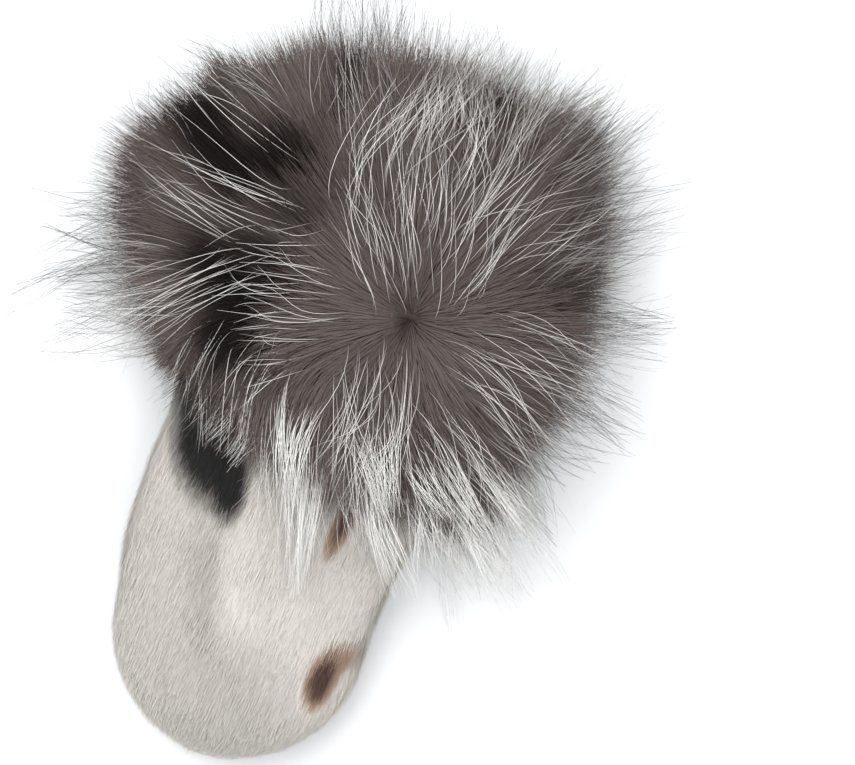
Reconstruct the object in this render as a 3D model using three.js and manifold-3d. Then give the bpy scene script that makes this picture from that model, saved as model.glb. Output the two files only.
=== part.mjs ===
// A right-hand fur mitten, lying on its palm as it does when it is put down.
// The back of the hand is a short-haired skin that wraps round the sides, the palm and the thumb are
// black leather, and a deep fur cuff stands round the wrist. Millimetres, +Z up, fingertips towards -Y.
// The mitten is hollow: the hand goes in through the cuff, and the thumb through a hole in the palm.
import * as THREE from "three";
import { mergeVertices } from "three/addons/utils/BufferGeometryUtils.js";
import Module from "manifold-3d";

const wasm = await Module();
wasm.setup();

// Driving dimensions

const handLength = 200; // fingertip to the edge of the cuff's pelt
const handWidth = 136; // across the back of the hand, pile included
const handHeight = 44; // floor to the top of the back, over the knuckles
const noseLength = 64; // the round end of the fingers, seen from above
const noseDepth = 26; // the same round, seen from the side
const cuffLength = 104; // the pelt of the cuff, along the arm
const skinWall = 4.5; // skin of the back with its laid pile
const leatherWall = 1.8; // palm and thumb
const peltWall = 2.6; // skin side of the cuff
const palmRim = 6; // how far the haired skin wraps round to the palm
const cuffTuck = 12; // what the hand part reaches into the cuff
const seamGap = 0.3; // between pieces that are sewn face to face

const thumbLength = 116; // thumb's tip to its seam by the wrist
const thumbWidth = 43; // thumb across its straight stretch
const thumbTipX = -2.7; // the thumb's tip, from the middle of the hand
const thumbTipY = 91; // and from the fingertip
const thumbHoleLength = 44; // the hole in the palm that the thumb goes through
const thumbHoleWidth = 30;
const thumbHoleMargin = 7; // from the hole to the thumb's seam by the wrist
const collarLap = 1.1; // how far the collar round the hole reaches into the thumb's top
const thumbLean = 36; // degrees between the thumb and the hand, at the tip
const thumbClearance = 0.9; // between the thumb and the fur that lies round its seam
const thumbTurn = 17; // degrees that it straightens by, on its way to the wrist

const underfurLength = 50; // the cuff's soft underfur
const lockLength = 86; // a lock of its guard hair, root to tip
const lockWidth = 30; // a lock across its widest place
const lockDepth = 16; // the same lock through its thickness
const lockColumns = 16; // locks round the arm
const lockRows = 5; // rings of locks along the cuff
const cornerFill = 35; // how far the underfur lies over the hand, from the pelt's edge
const mouthFill = 17.5; // and how far it stands past the pelt, round the opening
const furStand = 0.8; // how upright the fur stands against the way it is combed
const furSweep = 2; // how strongly it is combed towards the fingers and up the arm
const furDroop = 0.08; // how far a hair hangs, as a share of its length
const hairRise = 0.4; // where a hair bends over, as a share of its length
const hairReach = 0.94; // from its root to its tip in a straight line, as a share of its length
const floorHair = 3; // the lowest hairs' middle, over the floor
const flatBelow = -0.6; // the facing's height under which the cuff's weight presses its middle locks flat
const underStripTop = 20; // the strip of fur under the wrist ends at this height over the floor
const swirlX = 38; // where the fur parts on top of the cuff, from the middle of the arm
const swirlShare = 0.32; // and how far along the cuff

// The hand's sections. Each row: at, the share of the hand's length from the fingertips; little and
// thumb, the half widths to each side as shares of half the hand's width; belly, seam and crown, the
// heights of the underside, the widest place and the top as shares of the hand's height.
const handSections = [
  { at: 0.0, little: 0.94, thumb: 0.9, belly: -0.05, seam: 0.34, crown: 0.8 },
  { at: 0.3, little: 0.95, thumb: 0.91, belly: -0.05, seam: 0.38, crown: 0.96 },
  { at: 0.45, little: 1.0, thumb: 0.93, belly: 0.05, seam: 0.46, crown: 1.04 },
  { at: 0.55, little: 1.01, thumb: 0.97, belly: 0.24, seam: 0.56, crown: 1.1 },
  { at: 0.7, little: 0.98, thumb: 1.05, belly: 0.33, seam: 0.68, crown: 1.19 },
  { at: 0.82, little: 0.94, thumb: 1.03, belly: 0.37, seam: 0.76, crown: 1.26 },
  { at: 1.0, little: 0.92, thumb: 0.94, belly: 0.4, seam: 0.82, crown: 1.32 },
  { at: 1.25, little: 1.0, thumb: 1.0, belly: 0.38, seam: 0.86, crown: 1.38 },
  { at: 1.6, little: 1.05, thumb: 1.05, belly: 0.38, seam: 0.88, crown: 1.4 },
];
const crownPower = 2.3; // how square the upper half of a section is
const bellyPower = 2.7; // and the lower half, which is pressed flat

// The thumb's width along it, from its tip to its seam, as shares of its straight width.
const thumbSections = [
  { at: 0.0, wide: 0.96 },
  { at: 0.3, wide: 1.0 },
  { at: 0.6, wide: 1.06 },
  { at: 0.85, wide: 1.16 },
  { at: 1.0, wide: 1.1 },
];
const thumbPower = 3; // how square the thumb's section is
const sideTurn = 0.86; // where the hand's side turns up, as a share of its half width

// A lock of the cuff's fur, from root to tip: its width and depth there as shares of the widest.
const lockProfile = [
  { at: 0.12, wide: 0.8 },
  { at: 0.45, wide: 1 },
  { at: 0.72, wide: 0.68 },
  { at: 1, wide: 0.04 },
];

// Folds and dents. Each row is a straight furrow: x0, y0 to x1, y1 are its ends as shares of half the
// hand's width and of its length, deep is how far it goes in and wide its half width, both as shares of
// the hand's height.
const palmFolds = [
  { x0: -0.5, y0: 0.1, x1: -0.34, y1: 0.42, deep: 0.05, wide: 0.13 },
  { x0: -0.1, y0: 0.05, x1: -0.05, y1: 0.4, deep: 0.045, wide: 0.12 },
  { x0: 0.3, y0: 0.1, x1: 0.16, y1: 0.38, deep: 0.05, wide: 0.12 },
  { x0: 0.62, y0: 0.26, x1: 0.4, y1: 0.44, deep: 0.06, wide: 0.13 },
];
const backDents = [
  { x0: -0.3, y0: 0.72, x1: -0.12, y1: 0.42, deep: 0.07, wide: 0.34 },
  { x0: -0.12, y0: 0.42, x1: 0.46, y1: 0.22, deep: 0.055, wide: 0.3 },
  { x0: 0.62, y0: 0.68, x1: 0.36, y1: 0.86, deep: 0.06, wide: 0.3 },
];

// Steps along and round each form. The steps along are closer together at the round ends.
const alongShares = [
  0.004, 0.02, 0.05, 0.09, 0.14, 0.2, 0.27, 0.34, 0.4, 0.45, 0.5, 0.56, 0.62, 0.7, 0.78, 0.86, 0.94,
];
const thumbShares = [0.004, 0.03, 0.08, 0.16, 0.28, 0.42, 0.56, 0.7, 0.84, 1];
const cuffShares = [0, 0.12, 0.5, 1];
const roundSteps = 48;
const cavitySteps = 28;
const seamSteps = 26;
const thumbSteps = 18;
const furSteps = 28;
const furRows = 6;
const lockSides = 4;

// Small helpers for tables, curves and solids

// A column of a table at any place, on a smooth curve through its rows.
function smooth(table, column, at) {
  const last = table.length - 1;
  const place = THREE.MathUtils.clamp(at, table[0].at, table[last].at);
  let i = 0;
  while (i < last - 1 && place > table[i + 1].at) i++;
  const [before, from, to, after] = [i - 1, i, i + 1, i + 2].map((k) => {
    return table[THREE.MathUtils.clamp(k, 0, last)];
  });
  const span = to.at - from.at;
  const share = (place - from.at) / span;
  const slopeFrom = ((to[column] - before[column]) / (to.at - before.at)) * span;
  const slopeTo = ((after[column] - from[column]) / (after.at - from.at)) * span;
  const s2 = share * share;
  const s3 = s2 * share;
  return (
    from[column] * (2 * s3 - 3 * s2 + 1) +
    slopeFrom * (s3 - 2 * s2 + share) +
    to[column] * (3 * s2 - 2 * s3) +
    slopeTo * (s3 - s2)
  );
}

// A power that keeps the sign, for rounded squares.
const signedPower = (value, power) => Math.sign(value) * Math.abs(value) ** power;

// A round end: 0 at the very tip, 1 from its length onwards.
function roundEnd(distance, length) {
  const left = 1 - THREE.MathUtils.clamp(distance / length, 0, 1);
  return Math.sqrt(1 - left * left);
}

// One closed body from rings with the same number of points, with a flat fan over each end.
function loft(rings) {
  const count = rings[0].length;
  const points = rings.flat();
  const faces = [];
  for (let r = 0; r + 1 < rings.length; r++) {
    for (let k = 0; k < count; k++) {
      const a = r * count + k;
      const b = r * count + ((k + 1) % count);
      faces.push(a, b, b + count, a, b + count, a + count);
    }
  }
  for (const [ring, turned] of [[0, true], [rings.length - 1, false]]) {
    const middle = points.length;
    const sum = rings[ring].reduce((total, p) => total.add(p), new THREE.Vector3());
    points.push(sum.divideScalar(count));
    for (let k = 0; k < count; k++) {
      const a = ring * count + k;
      const b = ring * count + ((k + 1) % count);
      faces.push(middle, turned ? b : a, turned ? a : b);
    }
  }
  const geometry = new THREE.BufferGeometry().setFromPoints(points);
  geometry.setIndex(faces);
  return geometry;
}

// three.js geometry to a solid that can be cut and joined, and back.
function solid(geometry) {
  const plain = geometry.clone();
  plain.deleteAttribute("normal");
  plain.deleteAttribute("uv");
  const merged = mergeVertices(plain, 1e-4);
  const body = new wasm.Manifold(
    new wasm.Mesh({
      numProp: 3,
      vertProperties: new Float32Array(merged.attributes.position.array),
      triVerts: new Uint32Array(merged.index.array),
    }),
  );
  if (body.volume() > 0) return body;
  throw new Error("a lofted body is inside out");
}

function geometryOf(body) {
  const mesh = body.getMesh();
  const geometry = new THREE.BufferGeometry();
  geometry.setAttribute("position", new THREE.BufferAttribute(mesh.vertProperties, 3));
  geometry.setIndex(new THREE.BufferAttribute(mesh.triVerts, 1));
  geometry.computeVertexNormals();
  return geometry;
}

// The form of the hand

const halfWidth = handWidth / 2;
const levelBelow = 0.35; // a furrow ends where it is shallower than this

// The height of a rounded square over its middle line, 1 in the middle and 0 at its sides.
const roundedSide = (share, power) => (1 - Math.min(Math.abs(share), 1) ** power) ** (1 / power);

// How far a place lies inside the furrows of a table, in millimetres of depth. Between them it is level.
function furrow(table, x, y) {
  let depth = 0;
  for (const row of table) {
    const from = new THREE.Vector2(row.x0 * halfWidth, row.y0 * handLength);
    const line = new THREE.Vector2(row.x1 * halfWidth, row.y1 * handLength).sub(from);
    const here = new THREE.Vector2(x, y).sub(from);
    const share = THREE.MathUtils.clamp(here.dot(line) / line.lengthSq(), 0, 1);
    const away = here.sub(line.multiplyScalar(share)).length() / (row.wide * handHeight);
    depth += row.deep * handHeight * Math.exp(-away * away);
  }
  return Math.max(depth - levelBelow, 0);
}

// The section at a distance from the fingertips, its wall moved in by the given amounts.
function sectionAt(y, wall, under) {
  const at = y / handLength;
  const end = roundEnd(y - wall, noseLength - wall);
  const depth = roundEnd(y - wall, noseDepth);
  const seam = smooth(handSections, "seam", at) * handHeight;
  const crown = smooth(handSections, "crown", at) * handHeight - wall;
  const belly = smooth(handSections, "belly", at) * handHeight + under;
  return {
    little: (smooth(handSections, "little", at) * halfWidth - wall) * end,
    thumb: (smooth(handSections, "thumb", at) * halfWidth - wall) * end,
    seam,
    rise: (crown - seam) * depth,
    drop: (seam - belly) * depth,
  };
}

// A point of the hand's surface. The turn runs round the arm from the thumb side over the top.
function handPoint(y, turn, wall, under) {
  const section = sectionAt(y, wall, under);
  const across = Math.cos(turn);
  const x = across * (across > 0 ? section.thumb : section.little);
  if (Math.sin(turn) > 0) {
    const tall = roundedSide(across, crownPower);
    return new THREE.Vector3(x, y, section.seam + (section.rise - furrow(backDents, x, y)) * tall);
  }
  const tall = roundedSide(across, bellyPower);
  const z = section.seam - section.drop * tall;
  return new THREE.Vector3(x, y, Math.max(z, under) + furrow(palmFolds, x, y) * tall);
}

function handRing(y, wall, under, steps) {
  return Array.from({ length: steps }, (_, k) => handPoint(y, (-k / steps) * 2 * Math.PI, wall, under));
}

// A closed body of the hand's form from the fingertips to the given end.
function handBody(end, wall, under, steps) {
  const places = alongShares.map((share) => wall + share * (handLength - wall));
  const rings = [...places, handLength, end].map((y) => handRing(y, wall, under, steps));
  return solid(loft(rings));
}

const tuckedEnd = handLength + cuffTuck;
const handOutside = handBody(tuckedEnd, 0, 0, roundSteps);
const handCavity = handBody(tuckedEnd + cuffTuck, skinWall, leatherWall, cavitySteps);
const handShell = handOutside.subtract(handCavity);

// What lies under the palm's seam: the palm's outline, from below the floor to the widest place.
function palmRegion(inset) {
  const below = -handHeight;
  const start = inset + 0.1;
  const rings = [];
  for (let i = 0; i <= seamSteps; i++) {
    const y = start + (tuckedEnd + cuffTuck - start) * (i / seamSteps) ** 1.5;
    const section = sectionAt(y, inset, 0);
    const top = section.seam;
    rings.push([
      new THREE.Vector3(section.thumb, y, top),
      new THREE.Vector3(section.thumb, y, below),
      new THREE.Vector3(-section.little, y, below),
      new THREE.Vector3(-section.little, y, top),
    ]);
  }
  return solid(loft(rings));
}

// The thumb, folded under the palm. Its middle line runs from the tip towards the wrist.
const thumbNose = thumbWidth / 2;
const thumbLine = (() => {
  const points = [];
  const steps = 12;
  const place = new THREE.Vector2(thumbTipX, thumbTipY);
  const begin = THREE.MathUtils.degToRad(thumbLean);
  const turn = THREE.MathUtils.degToRad(thumbTurn);
  for (let i = 0; i <= steps; i++) {
    const heading = begin - turn * (i / steps);
    points.push({ place: place.clone(), heading });
    place.x += (Math.sin(heading) * thumbLength) / steps;
    place.y += (Math.cos(heading) * thumbLength) / steps;
  }
  return points;
})();

// Where the thumb's middle line is at a distance from its tip, and which way it heads.
function thumbAt(distance) {
  const exact = THREE.MathUtils.clamp(distance / thumbLength, 0, 1) * (thumbLine.length - 1);
  const i = Math.min(Math.floor(exact), thumbLine.length - 2);
  const [from, to] = [thumbLine[i], thumbLine[i + 1]];
  return {
    place: from.place.clone().lerp(to.place, exact - i),
    heading: THREE.MathUtils.lerp(from.heading, to.heading, exact - i),
  };
}

// The height of the hand's underside over a place on the floor, level from where its side turns up.
function undersideAt(x, y) {
  const section = sectionAt(y, 0, 0);
  const half = x > 0 ? section.thumb : section.little;
  const share = Math.min(Math.abs(x) / half, sideTurn);
  const z = section.seam - section.drop * roundedSide(share, bellyPower);
  return Math.max(z, 0) + furrow(palmFolds, x, y);
}

const thinnest = 1; // the least height of the thumb, where the palm comes down to the floor
const tipBluntness = 0.25; // the height of the thumb's very tip, as a share of its full height

// A closed body of the thumb's form, its wall moved in. Its top reaches into the palm and is cut later.
function thumbBody(wall, overTop) {
  const length = thumbLength - 2 * wall;
  const rings = thumbShares.map((share) => {
    const distance = wall + share * length;
    const { place, heading } = thumbAt(distance);
    const end = roundEnd(share * length, thumbNose - wall);
    const half = (smooth(thumbSections, "wide", share) * thumbWidth * 0.5 - wall) * end;
    const aside = new THREE.Vector2(Math.cos(heading), -Math.sin(heading));
    return Array.from({ length: thumbSteps }, (_, k) => {
      const turn = (-k / thumbSteps) * 2 * Math.PI;
      const over = signedPower(Math.cos(turn), 2 / thumbPower) * half;
      const at = place.clone().addScaledVector(aside, over);
      const top = Math.max(undersideAt(at.x, at.y) + overTop, 2 * wall + thinnest);
      const middle = (top + wall) / 2;
      const swell = Math.max(end, tipBluntness) * signedPower(Math.sin(turn), 2 / thumbPower);
      return new THREE.Vector3(at.x, at.y, middle + (middle - wall) * swell);
    });
  });
  return solid(loft(rings));
}

// An upright oval over the thumb's hole, as wide and long as the hole less an inset all round.
function holeColumn(inset) {
  const { place, heading } = thumbAt(thumbLength - thumbHoleLength / 2 - thumbHoleMargin);
  const oval = new THREE.Shape();
  oval.absellipse(0, 0, thumbHoleWidth / 2 - inset, thumbHoleLength / 2 - inset, 0, 2 * Math.PI, false, 0);
  const upright = { depth: handHeight, bevelEnabled: false, curveSegments: 7 };
  const column = new THREE.ExtrudeGeometry(oval, upright);
  column.rotateZ(-heading);
  column.translate(place.x, place.y, 3 * leatherWall);
  return solid(column);
}

const palmHole = holeColumn(0);
const collarOuter = holeColumn(seamGap);
const collarInner = holeColumn(seamGap + leatherWall);

const palmPanel = handShell.intersect(palmRegion(palmRim)).subtract(palmHole);
const backPanel = handShell.subtract(palmRegion(palmRim - seamGap));

const thumbTop = handOutside.translate([0, 0, -seamGap]);
const collarFoot = handOutside.translate([0, 0, -seamGap - collarLap]);
const thumbPouch = thumbBody(0, leatherWall)
  .subtract(thumbTop)
  .subtract(thumbBody(leatherWall, -leatherWall - seamGap));
const thumbCollar = collarOuter.intersect(collarFoot).subtract(handCavity).intersect(palmRegion(palmRim));
const thumb = thumbPouch.add(thumbCollar).subtract(collarInner);

// The cuff: a pelt round the wrist, and its fur, with locks fused to packed underfur

const cuffStart = handLength;
const cuffEnd = handLength + cuffLength;

function cuffBody(grow, from, to) {
  const steps = cuffShares.map((share) => cuffStart + share * cuffLength);
  const places = [from, ...steps.filter((y) => y > from && y < to), to];
  return solid(loft(places.map((y) => handRing(y, -grow, -grow, roundSteps))));
}

const peltTube = cuffBody(seamGap + peltWall, cuffStart, cuffEnd).subtract(
  cuffBody(seamGap, cuffStart - cuffTuck, cuffEnd + cuffTuck),
);

// A repeatable number from 0 to 1 for each lock.
function scatter(index, salt) {
  const wave = Math.sin(index * 12.9898 + salt * 78.233) * 43758.5453;
  return wave - Math.floor(wave);
}

// Where a lock grows and which way the pelt faces there.
function rootAt(y, turn) {
  const step = 0.02;
  const here = handPoint(y, turn, -peltWall, -peltWall);
  const round = handPoint(y, turn + step, -peltWall, -peltWall).sub(here);
  const along = new THREE.Vector3(0, 1, 0);
  return { here, facing: round.cross(along).negate().normalize() };
}

// The fur is combed away from the swirl on top and from the middle underneath.
function combAt(here, facing) {
  const over = THREE.MathUtils.smoothstep(facing.z, -0.6, 0.6);
  const parting = THREE.MathUtils.lerp(0.5, swirlShare, over);
  const across = (here.x - swirlX * over) / halfWidth;
  const along = (here.y - cuffStart - cuffLength * parting) / (cuffLength * 0.5);
  return new THREE.Vector3(across, furSweep * signedPower(along, 0.8), 0);
}

// A hair's curve: it rises from the pelt, bends over the way it is combed and hangs a little. Under
// the cuff it lies along the floor.
function hairCurve(y, turn, length, lowest) {
  const { here, facing } = rootAt(y, turn);
  const lean = facing.clone().multiplyScalar(furStand).add(combAt(here, facing)).normalize();
  const rise = here.clone().addScaledVector(facing, length * hairRise);
  const tip = here.clone().addScaledVector(lean, length * hairReach);
  tip.z -= furDroop * length;
  rise.z = Math.max(rise.z, lowest);
  tip.z = Math.max(tip.z, lowest);
  return { curve: new THREE.QuadraticBezierCurve3(here, rise, tip), facing };
}

// The underfur: one soft ring, as deep as its hairs, that swells and sinks between the locks. It also
// fills the corner over the hand, and stands a little past the pelt round the opening.
function underfurBody() {
  const rings = [handRing(cuffStart - cornerFill, -seamGap, -seamGap, furSteps)];
  for (let row = 0; row <= furRows; row++) {
    const share = row / furRows;
    const y = cuffStart + cuffLength * share;
    rings.push(
      Array.from({ length: furSteps }, (_, k) => {
        const turn = (-k / furSteps) * 2 * Math.PI;
        const swell = 1 + 0.1 * Math.sin(3 * turn + 5 * share) + 0.07 * Math.sin(7 * turn - 9 * share);
        return hairCurve(y, turn, underfurLength * swell, 0).curve.getPoint(1);
      }),
    );
  }
  rings.push(handRing(cuffEnd + mouthFill, -seamGap, -seamGap, furSteps));
  return solid(loft(rings));
}

// One lock of guard hair, flat and pointed.
function lockBody(y, turn, index) {
  const length = lockLength * (0.9 + 0.2 * scatter(index, 1));
  const { curve, facing } = hairCurve(y, turn, length, floorHair);
  const chord = curve.v2.clone().sub(curve.v0).normalize();
  const aside = new THREE.Vector3().crossVectors(chord, facing);
  if (aside.length() < 0.2) aside.set(-chord.y, chord.x, 0);
  aside.normalize();
  const rings = lockProfile.map(({ at, wide }) => {
    const flat = new THREE.Vector3().crossVectors(aside, curve.getTangent(at)).normalize();
    const middle = curve.getPoint(at);
    return Array.from({ length: lockSides }, (_, k) => {
      const angle = (-k / lockSides) * 2 * Math.PI;
      const point = middle.clone().addScaledVector(aside, Math.cos(angle) * wide * lockWidth * 0.5);
      return point.addScaledVector(flat, Math.sin(angle) * wide * lockDepth * 0.5);
    });
  });
  return solid(loft(rings));
}

function cuffLocks() {
  const locks = [];
  for (let row = 0; row < lockRows; row++) {
    for (let column = 0; column < lockColumns; column++) {
      const index = row * lockColumns + column;
      const along = (row + 0.4 * (scatter(index, 2) - 0.5)) / (lockRows - 1);
      const share = THREE.MathUtils.clamp(along, 0.02, 0.98);
      const round = (column + (row % 2) / 2 + 0.3 * (scatter(index, 3) - 0.5)) / lockColumns;
      const [y, turn] = [cuffStart + share * cuffLength, round * 2 * Math.PI];
      const pressedFlat = row > 0 && row < lockRows - 1 && rootAt(y, turn).facing.z < flatBelow;
      if (!pressedFlat) locks.push(lockBody(y, turn, index));
    }
  }
  return locks;
}

const ground = new THREE.BoxGeometry(6 * handWidth, 6 * handWidth, handHeight);
ground.translate(0, handLength, -handHeight / 2);
const furInset = seamGap + peltWall + seamGap; // from the hand's form to the packed fur
const armRoom = cuffBody(furInset, cuffStart - cuffTuck, cuffEnd + 2 * lockLength);
const handRoom = handBody(tuckedEnd, -furInset, -furInset, roundSteps);
const thumbRoom = thumbBody(-thumbClearance, leatherWall + thumbClearance);
const cuffPelt = peltTube.subtract(thumbRoom);
const fur = wasm.Manifold.union([underfurBody(), ...cuffLocks()]);
const furTrimmed = fur.subtract(wasm.Manifold.union([armRoom, handRoom, thumbRoom, solid(ground)]));

// The largest piece alone: pockets that locks close off between them are filled, and crumbs cut from
// lock tips are dropped.
function mainPiece(body) {
  const outerSkins = body.decompose().filter((piece) => piece.volume() > 0);
  return outerSkins.reduce((most, piece) => (piece.volume() > most.volume() ? piece : most));
}

// The fur is in two strips. One lies under the wrist, and the other goes over it and its sides.
const cuffFur = mainPiece(furTrimmed.trimByPlane([0, 0, 1], underStripTop + seamGap));
const cuffUnderside = mainPiece(furTrimmed.trimByPlane([0, 0, -1], -underStripTop));

// The pieces

const haired = new THREE.MeshStandardMaterial({ color: 0xcfc9bf, roughness: 0.9, metalness: 0 });
const leather = new THREE.MeshStandardMaterial({ color: 0x1b1b1d, roughness: 0.5, metalness: 0 });
const suede = new THREE.MeshStandardMaterial({ color: 0xbba98f, roughness: 0.9, metalness: 0 });
const fox = new THREE.MeshStandardMaterial({ color: 0x5d5350, roughness: 0.95, metalness: 0 });

const mitten = new THREE.Group();
for (const [name, body, material] of [
  ["back_panel", backPanel, haired],
  ["palm_panel", palmPanel, leather],
  ["thumb", thumb, leather],
  ["cuff_pelt", cuffPelt, suede],
  ["cuff_fur", cuffFur, fox],
  ["cuff_underside", cuffUnderside, fox],
]) {
  const piece = new THREE.Mesh(geometryOf(body), material);
  piece.name = name;
  mitten.add(piece);
}

// The origin is on the floor, under the middle of the whole mitten.
const size = new THREE.Box3().setFromObject(mitten, true);
mitten.position.set(-(size.min.x + size.max.x) / 2, -(size.min.y + size.max.y) / 2, -size.min.z);

export default mitten;
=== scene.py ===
# %% [markdown]
# # A fur mitten
#
# A right-hand winter mitten lies on its palm. Four sewn parts make the real one: a short-haired skin
# over the back, a black leather palm, a leather thumb and a deep fur cuff. This file dresses the
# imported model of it. Every length is in metres here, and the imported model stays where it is.

# %% Load the frame
import math

import bmesh
import bpy
import numpy as np
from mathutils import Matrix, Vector


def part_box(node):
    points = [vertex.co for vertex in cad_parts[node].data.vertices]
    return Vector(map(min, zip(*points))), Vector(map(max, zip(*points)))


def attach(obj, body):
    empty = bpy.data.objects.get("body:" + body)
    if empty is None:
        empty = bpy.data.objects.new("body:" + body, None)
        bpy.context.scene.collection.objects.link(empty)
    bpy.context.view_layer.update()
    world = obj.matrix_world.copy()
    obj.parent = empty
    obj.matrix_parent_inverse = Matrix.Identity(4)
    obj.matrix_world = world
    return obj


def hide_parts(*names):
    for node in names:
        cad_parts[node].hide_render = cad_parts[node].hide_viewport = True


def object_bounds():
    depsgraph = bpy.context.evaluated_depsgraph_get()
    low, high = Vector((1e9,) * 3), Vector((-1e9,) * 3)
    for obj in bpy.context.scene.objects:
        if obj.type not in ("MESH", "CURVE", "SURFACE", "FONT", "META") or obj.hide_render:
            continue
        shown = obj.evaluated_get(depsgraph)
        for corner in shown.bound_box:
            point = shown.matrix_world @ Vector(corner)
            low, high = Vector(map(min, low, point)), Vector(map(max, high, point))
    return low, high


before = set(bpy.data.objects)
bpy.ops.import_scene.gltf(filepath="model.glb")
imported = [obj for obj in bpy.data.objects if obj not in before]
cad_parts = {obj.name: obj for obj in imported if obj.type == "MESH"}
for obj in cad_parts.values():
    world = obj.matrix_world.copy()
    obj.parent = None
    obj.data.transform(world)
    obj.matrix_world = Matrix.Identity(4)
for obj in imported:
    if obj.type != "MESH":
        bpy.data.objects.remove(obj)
cad_low, cad_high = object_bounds()
print("the packed model is", [round(b - a, 4) for a, b in zip(cad_low, cad_high)], "m")

# %% [markdown]
# ## The form of the hand
#
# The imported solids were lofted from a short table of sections, and the looks need the same form in
# finer steps. So the table is repeated here with its formula. Places on the hand have two numbers:
# y runs from the fingertips up the arm, and turn runs round the arm from the thumb's side.

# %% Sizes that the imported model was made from
MM = 0.001
HAND_LENGTH = 200 * MM
HAND_WIDTH = 136 * MM
HAND_HEIGHT = 44 * MM
NOSE_LENGTH = 64 * MM
NOSE_DEPTH = 26 * MM
CUFF_LENGTH = 104 * MM
SKIN_WALL = 4.5 * MM
LEATHER_WALL = 1.8 * MM
PELT_WALL = 2.6 * MM
PALM_RIM = 6 * MM
CUFF_TUCK = 12 * MM
SEAM_GAP = 0.3 * MM
LEVEL_BELOW = 0.35 * MM  # a furrow ends where it is shallower than this
HALF_WIDTH = HAND_WIDTH / 2
TUCKED_END = HAND_LENGTH + CUFF_TUCK
CROWN_POWER = 2.3
BELLY_POWER = 2.7


def named_rows(columns, *rows):
    """Rows of numbers under the names of their columns."""
    return [dict(zip(columns.split(), row)) for row in rows]


# Each row: at, the share of the hand's length; little and thumb, half widths as shares of half the
# hand's width; belly, seam and crown, heights as shares of the hand's height.
HAND_SECTIONS = named_rows(
    "at little thumb belly seam crown",
    (0.0, 0.94, 0.9, -0.05, 0.34, 0.8),
    (0.3, 0.95, 0.91, -0.05, 0.38, 0.96),
    (0.45, 1.0, 0.93, 0.05, 0.46, 1.04),
    (0.55, 1.01, 0.97, 0.24, 0.56, 1.1),
    (0.7, 0.98, 1.05, 0.33, 0.68, 1.19),
    (0.82, 0.94, 1.03, 0.37, 0.76, 1.26),
    (1.0, 0.92, 0.94, 0.4, 0.82, 1.32),
    (1.25, 1.0, 1.0, 0.38, 0.86, 1.38),
    (1.6, 1.05, 1.05, 0.38, 0.88, 1.4),
)

# Furrows. Each row: two ends as shares of half the width and of the length, and how deep and how wide
# it is as shares of the hand's height.
PALM_FOLDS = named_rows(
    "x0 y0 x1 y1 deep wide",
    (-0.5, 0.1, -0.34, 0.42, 0.05, 0.13),
    (-0.1, 0.05, -0.05, 0.4, 0.045, 0.12),
    (0.3, 0.1, 0.16, 0.38, 0.05, 0.12),
    (0.62, 0.26, 0.4, 0.44, 0.06, 0.13),
)
BACK_DENTS = named_rows(
    "x0 y0 x1 y1 deep wide",
    (-0.3, 0.72, -0.12, 0.42, 0.07, 0.34),
    (-0.12, 0.42, 0.46, 0.22, 0.055, 0.3),
    (0.62, 0.68, 0.36, 0.86, 0.06, 0.3),
)


# %% Curves through a table and the hand's surface
def column(table, name, at):
    """A column of a table at any place, on a smooth curve through its rows."""
    ats = np.array([row["at"] for row in table])
    values = np.array([row[name] for row in table])
    last = len(table) - 1
    place = np.clip(at, ats[0], ats[-1])
    i = np.clip(np.searchsorted(ats, place, side="left") - 1, 0, last - 1)
    before, after = np.clip(i - 1, 0, last), np.clip(i + 2, 0, last)
    span = ats[i + 1] - ats[i]
    share = (place - ats[i]) / span
    slope_from = (values[i + 1] - values[before]) / (ats[i + 1] - ats[before]) * span
    slope_to = (values[after] - values[i]) / (ats[after] - ats[i]) * span
    s2, s3 = share**2, share**3
    level = values[i] * (2 * s3 - 3 * s2 + 1) + values[i + 1] * (3 * s2 - 2 * s3)
    return level + slope_from * (s3 - 2 * s2 + share) + slope_to * (s3 - s2)


def smoothstep(low, high, value):
    share = np.clip((value - low) / (high - low), 0, 1)
    return share * share * (3 - 2 * share)


def step_mm(low, high, value):
    """0 below low and 1 above high, both in millimetres, with a soft step between them."""
    return smoothstep(low * MM, high * MM, value)


def full_turn(steps):
    return np.linspace(0, 2 * np.pi, steps, endpoint=False)[None, :]


def round_end(distance, length):
    left = 1 - np.clip(distance / length, 0, 1)
    return np.sqrt(1 - left * left)


def rounded_side(share, power):
    return (1 - np.minimum(np.abs(share), 1) ** power) ** (1 / power)


def nearness(row, x, y, x_unit, y_unit, wide_unit):
    """1 on the line from a row's first end to its second, and less away from it."""
    x0, y0 = row["x0"] * x_unit, row["y0"] * y_unit
    dx, dy = row["x1"] * x_unit - x0, row["y1"] * y_unit - y0
    share = np.clip(((x - x0) * dx + (y - y0) * dy) / (dx * dx + dy * dy), 0, 1)
    away = np.hypot(x - x0 - share * dx, y - y0 - share * dy) / (row["wide"] * wide_unit)
    return np.exp(-away * away)


def furrow(table, x, y):
    """How deep a place lies inside the furrows of a table."""
    depth = np.zeros(np.broadcast(x, y).shape)
    for row in table:
        near = nearness(row, x, y, HALF_WIDTH, HAND_LENGTH, HAND_HEIGHT)
        depth = depth + row["deep"] * HAND_HEIGHT * near
    return np.maximum(depth - LEVEL_BELOW, 0)


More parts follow.
